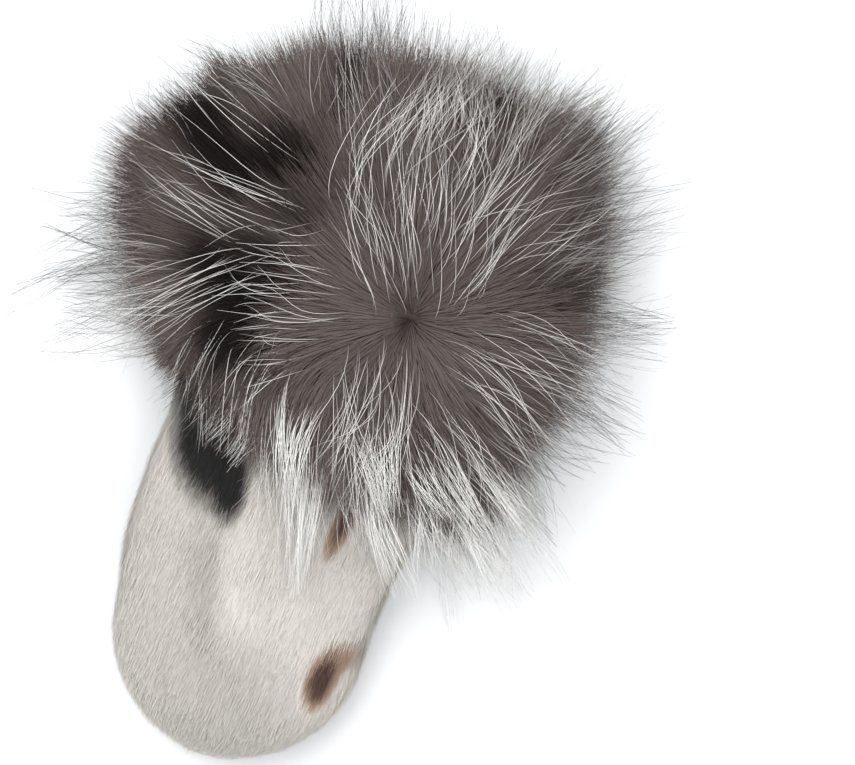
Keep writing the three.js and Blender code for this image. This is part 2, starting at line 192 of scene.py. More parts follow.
def section(y, wall=0.0, under=0.0):
    """The hand's section at a distance from the fingertips, its wall moved in by those amounts."""
    names = "little thumb belly seam crown".split()
    little, thumb, belly, seam, crown = [column(HAND_SECTIONS, name, y / HAND_LENGTH) for name in names]
    end = round_end(y - wall, NOSE_LENGTH - wall)
    depth = round_end(y - wall, NOSE_DEPTH)
    seam = seam * HAND_HEIGHT
    return dict(
        little=(little * HALF_WIDTH - wall) * end,
        thumb=(thumb * HALF_WIDTH - wall) * end,
        seam=seam,
        rise=(crown * HAND_HEIGHT - wall - seam) * depth,
        drop=(seam - (belly * HAND_HEIGHT + under)) * depth,
    )


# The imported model's origin is under the middle of its box, and the table's is at the fingertips, just
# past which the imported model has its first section.
first_ring = 0.004 * HAND_LENGTH
widest = section(np.linspace(0, TUCKED_END, 600))["little"].max()
back_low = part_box("back_panel")[0]
SHIFT = np.array([back_low.x + widest, back_low.y - first_ring, 0.0])


def across_and_up(points):
    """x and y of points in the frame, as the tables give them."""
    return points[..., 0] - SHIFT[0], points[..., 1] - SHIFT[1]


def lower_side(x, y, widest_share=1.0):
    """The height of the hand's underside at x, y, level from a share of the half width outwards."""
    form = section(y)
    half = np.maximum(np.where(x > 0, form["thumb"], form["little"]), MM)
    tall = rounded_side(np.minimum(np.abs(x) / half, widest_share), BELLY_POWER)
    z = form["seam"] - form["drop"] * tall
    return np.maximum(z, 0) + furrow(PALM_FOLDS, x, y) * tall


def hand_point(y, turn, wall=0.0, under=0.0):
    """Points of the hand's surface, in the frame."""
    y, turn = np.broadcast_arrays(np.asarray(y, float), np.asarray(turn, float))
    form = section(y, wall, under)
    across = np.cos(turn)
    half = np.where(across > 0, form["thumb"], form["little"])
    x = across * half
    above = rounded_side(across, CROWN_POWER)
    top = form["seam"] + (form["rise"] - furrow(BACK_DENTS, x, y)) * above
    below = rounded_side(across, BELLY_POWER)
    bottom = np.maximum(form["seam"] - form["drop"] * below, under) + furrow(PALM_FOLDS, x, y) * below
    z = np.where(np.sin(turn) > 0, top, bottom)
    return np.stack([x, y, z], -1) + SHIFT


print("the hand's fingertip is at", np.round(hand_point(first_ring, 0.0), 4))

# %% [markdown]
# ## Writing node trees as sums
#
# A mask or a hair's curve is easiest to read as a formula. A small class wraps a socket, and a sum or
# product of two of them adds the node that works it out. Every other node comes from one method, which
# takes the node's type, the values or wires of its sockets, and its settings.


# %% Sockets that can be added and multiplied
class Wire:
    def __init__(self, desk, socket):
        self.desk = desk
        self.socket = socket

    def sum(self, operation, *others):
        parts = (self, *others)
        vector = any(isinstance(p, tuple) or getattr(p, "is_vector", False) for p in parts)
        kind = "ShaderNodeVectorMath" if vector else "ShaderNodeMath"
        return self.desk.make(kind, dict(enumerate(parts)), operation=operation)

    @property
    def is_vector(self):
        return self.socket.type in ("VECTOR", "RGBA")

    def __add__(self, other):
        return self.sum("ADD", other)

    def __mul__(self, other):
        return self.sum("MULTIPLY", other)

    def __sub__(self, other):
        return self.sum("SUBTRACT", other)

    def __rsub__(self, other):
        return self * -1 + other

    def __pow__(self, other):
        return self.sum("POWER", other)

    __radd__ = __add__
    __rmul__ = __mul__

    def within(self, low, high):
        return self.sum("MAXIMUM", low).sum("MINIMUM", high)

    def step(self, low, high):
        """0 below low and 1 above high, with a soft step between them."""
        sockets = {"Value": self, "From Min": low, "From Max": high}
        return self.desk.make("ShaderNodeMapRange", sockets, interpolation_type="SMOOTHSTEP")


class Desk:
    """A node tree and the one way to add a node to it."""

    def __init__(self, tree):
        self.tree = tree

    def make(self, kind, sockets=None, out=None, **settings):
        """A new node, as the wire from its named output or else from its first."""
        node = self.tree.nodes.new(kind)
        for name, value in settings.items():
            if name == "stops":
                self.set_stops(node.color_ramp, value)
            else:
                setattr(node, name, value)
        for key, value in (sockets or {}).items():
            self.feed(node.inputs[key] if isinstance(key, int) else self.find(node.inputs, key), value)
        return Wire(self, self.find(node.outputs, out))

    def find(self, sockets, key=None):
        return next(s for s in sockets if s.enabled and key in (None, s.name))

    def feed(self, socket, value):
        if isinstance(value, Wire):
            self.tree.links.new(value.socket, socket)
        elif isinstance(value, (int, float)) and socket.type in ("VECTOR", "RGBA"):
            socket.default_value = [value] * len(socket.default_value)
        elif value is not None:
            socket.default_value = value

    @staticmethod
    def set_stops(ramp, stops):
        while len(ramp.elements) < len(stops):
            ramp.elements.new(0.5)
        for element, (place, colour) in zip(ramp.elements, stops):
            element.position = place
            element.color = (*colour, 1.0)


def finish(name, **plain):
    """A new material: its node desk and its Principled shader, with the plain values set."""
    material = bpy.data.materials.new(name)
    material.use_nodes = True
    desk = Desk(material.node_tree)
    shader = material.node_tree.nodes["Principled BSDF"]
    for socket, value in plain.items():
        shader.inputs[socket.replace("_", " ")].default_value = value
    return material, desk, shader


# %% [markdown]
# ## Camera, floor and light
#
# The picture was taken from straight above, with the mitten lying 16 degrees askew, so the camera looks
# down and is turned by that angle. A long lens keeps the deep fur from looking nearer than it is. A
# broad light from the upper left, a weaker one from the right and a bright room give faint shadows.


# %% Camera
def placed(name, data):
    """A new object in the scene."""
    thing = bpy.data.objects.new(name, data)
    bpy.context.scene.collection.objects.link(thing)
    return thing


FRAME_WIDE = 855
FRAME_HIGH = 765
METRES_PER_PIXEL = 0.0005
FINGERTIP_PIXEL = np.array([209, 752])
ASKEW = math.radians(16)
LENS_MM = 135
SENSOR_MM = 36

across_photo = np.array([math.cos(ASKEW), math.sin(ASKEW)])
down_photo = np.array([math.sin(ASKEW), -math.cos(ASKEW)])
to_middle = np.array([FRAME_WIDE, FRAME_HIGH]) / 2 - FINGERTIP_PIXEL
aim = (to_middle[0] * across_photo + to_middle[1] * down_photo) * METRES_PER_PIXEL + SHIFT[:2]
height = FRAME_WIDE * METRES_PER_PIXEL * LENS_MM / SENSOR_MM

camera_data = bpy.data.cameras.new("camera")
camera_data.lens = LENS_MM
camera_data.sensor_width = SENSOR_MM
camera = placed("camera", camera_data)
camera.location = (*aim, height)
camera.rotation_euler = (0, 0, ASKEW)
bpy.context.scene.camera = camera
print("camera", [round(c, 3) for c in camera.location])


# %% Floor and lights
def add_light(name, kind, place, aim_at, **settings):
    data = bpy.data.lights.new(name, kind)
    for key, value in settings.items():
        setattr(data, key, value)
    light = placed(name, data)
    light.location = place
    light.rotation_euler = (Vector(aim_at) - Vector(place)).to_track_quat("-Z", "Y").to_euler()


def new_object(name, points, faces):
    mesh = bpy.data.meshes.new(name)
    mesh.from_pydata([tuple(p) for p in np.reshape(points, (-1, 3))], [], [tuple(f) for f in faces])
    return placed(name, mesh)


FLOOR_HALF = 4.0
floor_corners = [(x * FLOOR_HALF, y * FLOOR_HALF, 0) for x, y in ((-1, -1), (1, -1), (1, 1), (-1, 1))]
floor = new_object("floor", floor_corners, [(0, 1, 2, 3)])
floor_finish, _, _ = finish("floor", Base_Color=(0.9, 0.91, 0.92, 1), Roughness=0.9)
floor.data.materials.append(floor_finish)

add_light("key", "AREA", (-0.9, 0.7, 1.5), (0.02, 0.02, 0), energy=34, size=2.0)
add_light("fill", "AREA", (1.1, -0.5, 1.6), (0.02, 0.0, 0), energy=12, size=1.4)
world = bpy.data.worlds.new("room")
world.use_nodes = True
world.node_tree.nodes["Background"].inputs["Color"].default_value = (0.97, 0.985, 1.0, 1)
world.node_tree.nodes["Background"].inputs["Strength"].default_value = 0.75
bpy.context.scene.world = world
bpy.context.scene.view_settings.view_transform = "Standard"

# %% [markdown]
# ## A tree that grows strands
#
# Fur is one short rule repeated tens of thousands of times: a hair starts at its root, rises, bends over
# and comes to a point. Geometry Nodes repeat it. Points are scattered on a groomed surface, each gets a
# flat strip, and the strips are bent along their hairs' curves. The surface carries the groom as
# attributes: facing and lean are directions, reach scales the length, thick the number of hairs, gather
# how much they cling together, and tone picks the colour.

# %% The strand tree
LOWEST = 0.8 * MM  # a hair's lowest place over the floor
PROUD = 15 * MM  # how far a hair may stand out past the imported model's box
NARROW_TIP = 0.3  # a hair's width at its tip, as a share of its widest
HAIR_LOW = (cad_low.x - PROUD, cad_low.y - PROUD, LOWEST)
HAIR_HIGH = (cad_high.x + PROUD, cad_high.y + PROUD, cad_high.z + PROUD)
TONE_STRIP = 0.004  # the width of one hair on the colour map
MAP_MARGIN = 0.01  # left free along the edges of the colour map
CM2_PER_M2 = 10000
STRAND_AMOUNTS = (
    "Strands_per_cm2", "Length", "Uneven_Length", "Rise", "Width", "Stray", "Bend", "Droop",
    "Clumps_per_cm2", "Clumping", "Twist", "Uneven_Tone",
)


def strand_tree(name, steps):
    """A tree that grows strips of that many steps from a groomed surface."""
    tree = bpy.data.node_groups.new(name, "GeometryNodeTree")
    tree.interface.new_socket("Geometry", in_out="INPUT", socket_type="NodeSocketGeometry")
    for label in STRAND_AMOUNTS:
        tree.interface.new_socket(label, in_out="INPUT", socket_type="NodeSocketFloat")
    tree.interface.new_socket("Seed", in_out="INPUT", socket_type="NodeSocketInt")
    tree.interface.new_socket("Finish", in_out="INPUT", socket_type="NodeSocketMaterial")
    tree.interface.new_socket("Geometry", in_out="OUTPUT", socket_type="NodeSocketGeometry")
    desk = Desk(tree)
    inlet = tree.nodes.new("NodeGroupInput")
    outlet = tree.nodes.new("NodeGroupOutput")
    place = desk.make("GeometryNodeInputPosition")

    def ask(label):
        return Wire(desk, inlet.outputs[label])

    def vector(label, kind="FLOAT_VECTOR"):
        return desk.make("GeometryNodeInputNamedAttribute", {"Name": label}, data_type=kind)

    def number(label):
        return vector(label, "FLOAT")

    def store(geometry, label, value, kind=None, domain="POINT"):
        kind = kind or ("FLOAT_VECTOR" if value.is_vector else "FLOAT")
        sockets = {"Geometry": geometry, "Name": label, "Value": value}
        return desk.make("GeometryNodeStoreNamedAttribute", sockets, data_type=kind, domain=domain)

    def store_all(geometry, **values):
        for label, value in values.items():
            geometry = store(geometry, label, value)
        return geometry

    def chance(low, high, salt):
        sockets = {"Min": low, "Max": high, "Seed": ask("Seed").sum("ADD", salt)}
        kind = "FLOAT_VECTOR" if isinstance(low, tuple) else "FLOAT"
        return desk.make("FunctionNodeRandomValue", sockets, data_type=kind)

    def scattered(per_cm2, salt):
        """Points on the surface with their hairs' root, bend, rise and tip."""
        density = per_cm2 * CM2_PER_M2 * number("thick")
        sockets = {"Mesh": ask("Geometry"), "Density": density, "Seed": ask("Seed").sum("ADD", salt)}
        points = desk.make("GeometryNodeDistributePointsOnFaces", sockets)
        uneven = 1 + ask("Uneven_Length") * chance(-1.0, 1.0, salt + 1)
        long = ask("Length") * number("reach") * uneven
        wild = 0.6 + 2.5 * chance(0.0, 1.0, salt + 3) ** 6  # a few hairs stray far more than the rest
        stray = chance((-1, -1, -1), (1, 1, 1), salt + 2) * (ask("Stray") * wild)
        way = (vector("lean") + stray).sum("NORMALIZE")
        rise = place + vector("facing") * long * ask("Rise")
        tip = place + way * long + long * ask("Droop") * (0, 0, -1)
        bend = chance((-1, -1, -0.4), (1, 1, 0.4), salt + 4) * (ask("Bend") * long)
        rise = rise.sum("MAXIMUM", (-9, -9, LOWEST))  # -9 m is no limit to the sides
        return store_all(points, root=place, bend=bend, rise=rise, tip=tip.within(HAIR_LOW, HAIR_HIGH))

    strands = scattered(ask("Strands_per_cm2"), 0)
    clumps = scattered(ask("Clumps_per_cm2"), 10)
    nearest = desk.make("GeometryNodeSampleNearest", {"Geometry": clumps})

    def of_clump(label):
        sockets = {"Geometry": clumps, "Value": vector(label), "Index": nearest}
        return desk.make("GeometryNodeSampleIndex", sockets, data_type="FLOAT_VECTOR")

    # The hairs of a clump start apart, lean together half way up and almost meet at their tips.
    grip = ask("Clumping") * number("gather") * chance(0.72, 1.0, 20)
    from_clump = vector("root") - of_clump("root")
    rise = vector("rise") + (of_clump("rise") + from_clump * 0.7 - vector("rise")) * (grip * 0.6)
    tip = vector("tip") + (of_clump("tip") + from_clump * 0.08 - vector("tip")) * grip
    bend = vector("bend") + (of_clump("bend") - vector("bend")) * grip
    strands = store_all(strands, rise=rise, tip=tip, bend=bend)
    line = vector("tip") - vector("root")
    flat = line.sum("CROSS_PRODUCT", vector("facing")).sum("NORMALIZE")
    upright = flat.sum("CROSS_PRODUCT", line).sum("NORMALIZE")
    turn = ask("Twist") * chance(-1.0, 1.0, 21)
    side = flat * turn.sum("COSINE") + upright * turn.sum("SINE")
    tone = number("tone") + ask("Uneven_Tone") * chance(-1.0, 1.0, 24)
    tone = tone.within(MAP_MARGIN, 1 - MAP_MARGIN)
    strands = store_all(strands, side=side, wave=chance(0.6, 1.6, 23), tone=tone)

    sockets = {"Size X": 1.0, "Size Y": 1.0, "Vertices X": 2, "Vertices Y": steps + 1}
    strip = desk.make("GeometryNodeMeshGrid", sockets)
    corner = desk.make("ShaderNodeSeparateXYZ", {"Vector": place})
    aside = corner * 2
    along = Wire(desk, corner.socket.node.outputs["Y"]) + 0.5
    strip = store_all(strip, along=along, aside=aside)
    hairs = desk.make("GeometryNodeInstanceOnPoints", {"Points": strands, "Instance": strip})
    hairs = desk.make("GeometryNodeRealizeInstances", {"Geometry": hairs})

    t = number("along")
    left = 1 - t
    taper = 1 - (1 - NARROW_TIP) * t * t
    middle = vector("root") * (left * left) + vector("rise") * (2 * t * left) + vector("tip") * (t * t)
    sway = (t * math.pi * number("wave")).sum("SINE") * t
    half = ask("Width") * 0.5 * taper * number("aside")
    curve = middle + vector("bend") * sway + vector("side") * half
    curve = curve.within(HAIR_LOW, HAIR_HIGH)
    hairs = desk.make("GeometryNodeSetPosition", {"Geometry": hairs, "Position": curve})
    across = number("tone") + TONE_STRIP * number("aside")
    sockets = {"X": t * (1 - 2 * MAP_MARGIN) + MAP_MARGIN, "Y": across}
    on_map = desk.make("ShaderNodeCombineXYZ", sockets)
    hairs = store(hairs, "OFBake", on_map, "FLOAT2", "CORNER")
    hairs = desk.make("GeometryNodeSetShadeSmooth", {"Geometry": hairs})
    hairs = desk.make("GeometryNodeSetMaterial", {"Geometry": hairs, "Material": ask("Finish")})
    tree.links.new(hairs.socket, outlet.inputs[0])
    return tree


def grow(name, surface, tree, material, seed, **amounts):
    """A new piece with the hairs that a tree grows on a groomed surface."""
    modifier = surface.modifiers.new("strands", "NODES")
    modifier.node_group = tree
    identifiers = {s.name: s.identifier for s in tree.interface.items_tree if s.in_out == "INPUT"}
    for label, value in {"Seed": seed, "Finish": material, **amounts}.items():
        modifier[identifiers[label]] = value
    bpy.context.view_layer.update()
    graph = bpy.context.evaluated_depsgraph_get()
    mesh = bpy.data.meshes.new_from_object(surface.evaluated_get(graph))
    surface.modifiers.remove(modifier)
    for helper in [a.name for a in mesh.attributes if a.name in HELPERS]:
        mesh.attributes.remove(mesh.attributes[helper])
    mesh.name = name
    print(name, "has", len(mesh.polygons) * 2, "triangles")
    return placed(name, mesh)


HELPERS = "facing lean reach thick gather tone root rise tip side bend wave along aside".split()
GUARD_TREE = strand_tree("guard hair strands", 9)
SOFT_TREE = strand_tree("underfur strands", 2)
COAT_TREE = strand_tree("coat strands", 1)

# %% [markdown]
# ## Colours
#
# A hair has its own map: along it is the place on the hair, and up it the hair's tone. So a finish is
# a few rows of colour stops, mixed by the tone. The same tones colour the skin that the hair grows on,
# where they are kept as an attribute of the surface.


# %% Colour helpers
def tint(red, green, blue):
    """A colour as eyes read it, 0 to 255, in the shader's linear numbers."""
    shares = np.array([red, green, blue]) / 255
    return tuple(np.where(shares < 0.04045, shares / 12.92, ((shares + 0.055) / 1.055) ** 2.4).tolist())


def colours(*rows):
    """Colour stops, from rows of a place, red, green and blue."""
    return [(place, tint(*colour)) for place, *colour in rows]


def mix(desk, share, first, second):
    return desk.make("ShaderNodeMix", {"Factor": share, "A": first, "B": second}, data_type="RGBA")


def link(value, shader, socket):
    value.desk.tree.links.new(value.socket, shader.inputs[socket])


def tone_attribute(desk):
    return desk.make("ShaderNodeAttribute", out="Fac", attribute_name="tone")


def noise(desk, scale, detail=3.0, stretch=(1, 1, 1)):
    """Soft noise in the object's own space, about 0.5 on average."""
    place = desk.make("ShaderNodeTexCoord", out="Object") * tuple(float(s) for s in stretch)
    return desk.make("ShaderNodeTexNoise", {"Vector": place, "Scale": scale, "Detail": detail})


def bump(desk, shader, height, distance):
    link(desk.make("ShaderNodeBump", {"Height": height, "Distance": distance}), shader, "Normal")


def paint(desk, shader, stops, place):
    """Colour stops along a value, as the base colour."""
    link(desk.make("ShaderNodeValToRGB", {"Fac": place}, stops=stops), shader, "Base Color")


def strand_finish(name, rows, **plain):
    """Each row: a tone, and the colour stops along a hair of that tone."""
    material, desk, shader = finish(name, **plain)
    map_place = desk.make("ShaderNodeUVMap", uv_map="OFBake")
    split = desk.make("ShaderNodeSeparateXYZ", {"Vector": map_place})
    tone = Wire(desk, split.socket.node.outputs["Y"])
    colour = None
    before = 0.0
    for at, *stops in rows:
        ramp = desk.make("ShaderNodeValToRGB", {"Fac": split}, stops=colours(*stops))
        colour = mix(desk, tone.step(before, at), colour, ramp) if colour else ramp
        before = at
    link(colour, shader, "Base Color")
    return material


# %% Finishes of the hair
# The near black first row is reached where the valleys' painted shade darkens the underfur.
SOFT_ROWS = [
    (0.0, (0.0, 14, 11, 10), (1.0, 26, 21, 20)),
    (0.5, (0.0, 94, 84, 80), (1.0, 106, 96, 92)),
    (1.0, (0.0, 116, 108, 104), (1.0, 152, 144, 140)),
]
GUARD_ROWS = [
    (0.0, (0.1, 92, 82, 78), (0.4, 196, 193, 189), (0.7, 240, 239, 236), (1.0, 232, 230, 226)),
    (0.5, (0.15, 88, 78, 74), (0.45, 178, 174, 170), (0.75, 222, 220, 216), (1.0, 120, 117, 116)),
    (1.0, (0.2, 54, 47, 44), (0.45, 136, 132, 130), (0.62, 124, 121, 120), (0.84, 28, 26, 27)),
]
COAT_ROWS = [
    (0.0, (0.0, 9, 8, 8), (1.0, 20, 18, 17)),
    (0.25, (0.0, 110, 104, 98), (1.0, 150, 146, 140)),
    (0.5, (0.0, 206, 201, 193), (1.0, 228, 224, 217)),
    (0.75, (0.0, 146, 116, 98), (1.0, 176, 150, 130)),
    (1.0, (0.0, 56, 40, 33), (1.0, 88, 68, 58)),
]
soft_finish = strand_finish("fox underfur", SOFT_ROWS, Roughness=0.85, Specular_IOR_Level=0.1)
guard_finish = strand_finish("fox guard hair", GUARD_ROWS, Roughness=0.45, Specular_IOR_Level=0.4)
coat_finish = strand_finish("short coat", COAT_ROWS, Roughness=0.55, Specular_IOR_Level=0.25)

# %% [markdown]
# ## The cuff's packed underfur
#
# Fox fur is two coats: short, dense, soft underfur, and long, stiff guard hair. The fur was brushed away
# from a swirl on top of the cuff, so all of it lies outward from there. The underfur is so dense that it
# reads as one plush body with a soft edge. Here a solid body stands for its packed inner depth, and the
# hair that shows grows from that body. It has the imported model's comb, and is thinner on the little
# finger's side.

# %% The comb
CUFF_START = HAND_LENGTH
CUFF_END = HAND_LENGTH + CUFF_LENGTH
CORNER_FILL = 38 * MM
MOUTH_FILL = 17.5 * MM
FUR_STAND = 0.8
FUR_SWEEP = 2.0
SWIRL_X = 38 * MM  # the swirl's place across the hand
SWIRL_SHARE = 0.32  # and along the cuff, as a share of its length
NEXT_TURN = 0.02  # a small step round the arm, to find which way the surface faces


def unit(vectors):
    return vectors / (np.linalg.norm(vectors, axis=-1, keepdims=True) + 1e-12)


def from_swirl(x, y, over):
    """The way from the swirl on top, or from the middle where the surface faces down."""
    parting = 0.5 + (SWIRL_SHARE - 0.5) * over
    return x - SWIRL_X * over, y - CUFF_START - CUFF_LENGTH * parting


def plush(y, turn, depth):
    """Where underfur of that depth ends that grows at y, turn on the pelt."""
    here = hand_point(y, turn, -PELT_WALL, -PELT_WALL)
    ahead = hand_point(y, turn + NEXT_TURN, -PELT_WALL, -PELT_WALL) - here
    facing = -unit(np.cross(ahead, (0, 1, 0)))
    over = smoothstep(-0.6, 0.6, facing[..., 2])
    away_x, away_y = from_swirl(*across_and_up(here), over)
    along = away_y / (CUFF_LENGTH * 0.5)
    sweep = FUR_SWEEP * np.sign(along) * np.abs(along) ** 0.8
    lean = unit(facing * FUR_STAND + np.stack([away_x / HALF_WIDTH, sweep, 0 * sweep], -1))
    return here + lean * depth[..., None]


# %% The body of the underfur
# Where the fur sinks and where shade is painted into it, on top. Each row: two ends in millimetres from
# the middle of the hand and from the fingertips, how wide it is, how deep the fur sinks there and how
# much painted shade darkens it.
VALLEYS = named_rows(
    "x0 y0 x1 y1 wide sink dark",
    (-46, 240, -22, 230, 14, 0.35, 0.5),
    (-22, 231, -5, 236, 10, 0.15, 0.34),
    (-34, 247, -14, 242, 11, 0.2, 0.44),
    (-70, 291, -40, 263, 15, 0.2, 0.4),
    (-40, 263, -28, 282, 17, 0.25, 0.46),
    (-34, 262, -8, 256, 12, 0.2, 0.36),
    (-34, 214, -20, 212, 14, 0.25, 0.4),
    (-44, 182, -24, 174, 15, 0.2, 0.34),
    (-16, 300, -12, 334, 8, 0.3, 0.42),
    (38, 230, 39, 232, 6, 0.3, 0.12),
    (66, 258, 100, 262, 8, 0.2, 0.25),
    (50, 328, 62, 352, 9, 0.2, 0.42),
)
BODY_DEPTH = 30 * MM
BODY_FLOOR = 2.5 * MM
LIP_RINGS = 6
LIP_BULGE = 5 * MM
PELT_RINGS = 48
INNER_RINGS = 38
ROUND_STEPS = 168
INNER_TONE = 0.35


def valley(x, y, name):
    """How far a place lies in the valleys, in their sink share or their share of painted shade."""
    total = np.zeros(np.broadcast(x, y).shape)
    for row in VALLEYS:
        total = np.maximum(total, row[name] * nearness(row, x, y, MM, MM, MM))
    return total


def facing_of(points):
    """The outward direction at each point of a grid that runs along, then round."""
    ahead = np.roll(points, -1, axis=1) - np.roll(points, 1, axis=1)
    facing = unit(np.cross(np.gradient(points, axis=0), ahead))
    out_from_middle = ((points - points.mean(axis=1, keepdims=True)) * facing).sum()
    return facing * np.sign(out_from_middle)


def lip_start(turn):
    """Where the fur's front lip lies on the hand: far over it by the thumb, little on the other side."""
    return CUFF_START - CORNER_FILL * (0.1 + 0.9 * smoothstep(-0.6, 0.5, np.cos(turn)))


def packed_underfur():
    """The outer points of the underfur's body, from its lip over the hand to its lip round the mouth."""
    turn = full_turn(ROUND_STEPS)
    y = CUFF_START + CUFF_LENGTH * np.linspace(0, 1, PELT_RINGS)[:, None]
    swell = 1 + 0.1 * np.sin(3 * turn + 5 * y / CUFF_LENGTH) + 0.06 * np.sin(7 * turn - 9 * y / CUFF_LENGTH)
    along = (y - CUFF_START) / CUFF_LENGTH
    corner = smoothstep(0.1, 0.85, -np.cos(turn)) * smoothstep(0.45, 1.0, along)
    thumb_corner = smoothstep(0.3, 0.95, np.cos(turn)) * smoothstep(0.6, 1.0, along)
    little = smoothstep(0.1, 0.9, -np.cos(turn)) * (1 - smoothstep(0.2, 0.7, along))
    swell = swell * (1 - 0.65 * corner) * (1 - 0.15 * thumb_corner) * (1 - 0.7 * little)
    rough = plush(y, turn, BODY_DEPTH * swell)
    upward = step_mm(30, 55, rough[..., 2])
    sink = valley(*across_and_up(rough), "sink") * upward
    middle = plush(y, turn, BODY_DEPTH * swell * (1 - sink))
    front = hand_point(lip_start(turn), turn, -SEAM_GAP, -SEAM_GAP)
    mouth = hand_point(CUFF_END + MOUTH_FILL, turn, -SEAM_GAP, -SEAM_GAP)
    share = np.linspace(0, 1, LIP_RINGS, endpoint=False)[:, None, None]
    bulge = np.sin(share * np.pi) * LIP_BULGE
    out_front = unit(middle[:1] - middle[3:4])
    out_mouth = unit(middle[-1:] - middle[-4:-3])
    front_lip = front + (middle[:1] - front) * share + out_front * bulge
    mouth_lip = mouth + (middle[-1:] - mouth) * share + out_mouth * bulge
    points = np.concatenate([front_lip, middle, mouth_lip[::-1]])
    points[..., 2] = np.maximum(points[..., 2], BODY_FLOOR)
    return points


cuff_points = packed_underfur()
cuff_facing = facing_of(cuff_points)
print("the packed underfur spans", cuff_points.min((0, 1)).round(3), cuff_points.max((0, 1)).round(3))


# %% Meshes from grids
def grid_faces(rows, columns, closed_rows=False, closed_columns=False):
    faces = []
    for i in range(rows if closed_rows else rows - 1):
        for j in range(columns if closed_columns else columns - 1):
            i2, j2 = (i + 1) % rows, (j + 1) % columns
            faces.append((i * columns + j, i2 * columns + j, i2 * columns + j2, i * columns + j2))
    return faces


def add_attributes(piece, **fields):
    for label, values in fields.items():
        is_vector = values.shape[-1] == 3 and values.size == 3 * len(piece.data.vertices)
        attribute = piece.data.attributes.new(label, "FLOAT_VECTOR" if is_vector else "FLOAT", "POINT")
        attribute.data.foreach_set("vector" if is_vector else "value", values.astype(np.float32).ravel())


def groomed(name, points, closed, **fields):
    """A surface that strands grow on, with its groom as attributes."""
    surface = new_object(name, points, grid_faces(*points.shape[:2], False, closed))
    add_attributes(surface, **fields)
    return surface


def dress(piece, material, slot, *nodes):
    """Give a piece its finish, hang it on the root body, and hide the imported parts that it stands for."""
    if material:
        piece.data.materials.append(material)
        piece.data.shade_smooth()
    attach(piece, "root")
    if nodes:
        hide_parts(*nodes)


def outward(piece):
    """Turn a closed piece's faces outwards."""
    mesh = bmesh.new()
    mesh.from_mesh(piece.data)
    bmesh.ops.recalc_face_normals(mesh, faces=mesh.faces)
    mesh.to_mesh(piece.data)
    mesh.free()


def ring_of_grids(name, *grids):
    """A piece of grids that go on from each other, closed round and from the last to the first."""
    points = np.concatenate(grids)
    piece = new_object(name, points, grid_faces(*points.shape[:2], True, True))
    outward(piece)
    return piece


def shell(name, outer, inner):
    """A sheet with a wall, from two grids of one size that are joined along their edges."""
    rows, columns = outer.shape[:2]
    loop = 2 * columns
    faces = grid_faces(rows, loop, False, True)
    for start in (0, (rows - 1) * loop):
        for k in range(columns - 1):
            faces.append((start + k, start + k + 1, start + loop - 2 - k, start + loop - 1 - k))
    points = np.concatenate([outer, inner[:, ::-1]], axis=1)
    piece = new_object(name, points, faces)
    outward(piece)
    return piece, points


# %% The underfur's tones and its body
def cuff_tones():
    x, y = across_and_up(cuff_points)
    upward = step_mm(22, 46, cuff_points[..., 2])
    wander = 0.05 * np.sin(x / (17 * MM) + 2 * np.sin(y / (23 * MM)))
    wander = wander + 0.05 * np.sin(y / (9 * MM) + x / (31 * MM))
    little_side = 1 - step_mm(-60, -20, x)
    away_x, away_y = from_swirl(x, y, upward)
    away = np.hypot(away_x, away_y)
    spokes = 0.05 * np.sin(7 * np.arctan2(away_y, away_x) + 2 * np.sin(away / (25 * MM)))
    wander = wander + spokes * step_mm(15, 50, away)
    # The valleys' painted shade darkens the underfur's tone on top.
    tone = 0.5 + wander - 0.07 * little_side - valley(x, y, "dark") * upward
    return np.clip(tone - 0.1 * (1 - upward), 0.02, 0.98)


cuff_tone = cuff_tones()
inner_share = np.linspace(0, 1, INNER_RINGS + 2)[1:-1, None]
inner_y = CUFF_END + MOUTH_FILL + (lip_start(full_turn(ROUND_STEPS)) - CUFF_END - MOUTH_FILL) * inner_share
over_pelt = smoothstep(CUFF_START - 6 * MM, CUFF_START, inner_y)
over_pelt = over_pelt * smoothstep(-CUFF_END - 6 * MM, -CUFF_END, -inner_y)
inner_gap = SEAM_GAP + (PELT_WALL + 0.2 * MM) * over_pelt
inner_points = hand_point(inner_y, full_turn(ROUND_STEPS), -inner_gap, -inner_gap)
fur_body = ring_of_grids("packed_underfur", cuff_points, inner_points)
add_attributes(fur_body, tone=np.concatenate([cuff_tone, np.full(inner_points.shape[:2], INNER_TONE)]))

body_finish, desk, shader = finish("packed underfur", Roughness=0.95, Specular_IOR_Level=0.05)
# The near black stop is reached where the valleys' painted shade darkens the underfur.
body_stops = colours((0.0, 14, 11, 10), (0.5, 88, 79, 75), (1.0, 120, 112, 108))
strands_seen = noise(desk, 420.0, 4.0)
paint(desk, shader, body_stops, tone_attribute(desk) + (strands_seen - 0.5) * 0.2)
bump(desk, shader, strands_seen, 0.0015)
dress(fur_body, body_finish, "fox_fur", "cuff_fur", "cuff_underside")

# %% [markdown]
# ## The groom of the cuff
#
# Hairdressing is three choices at each place: which way a hair leans, how long it is and how many there
# are. The guard hair is sparse round the swirl and thick along the front edge, where it hangs over the
# hand in white, pointed locks. Distances in the zones below are in millimetres, to the left of the
# hand's middle line or from the fingertips.

# %% The groom
HAIR_STAND = 0.55
SOFT_STAND = 0.3
HAIR_SWEEP = 1.9
SOFTEN = 9 * MM
CENTRE_SIZE = 13 * MM


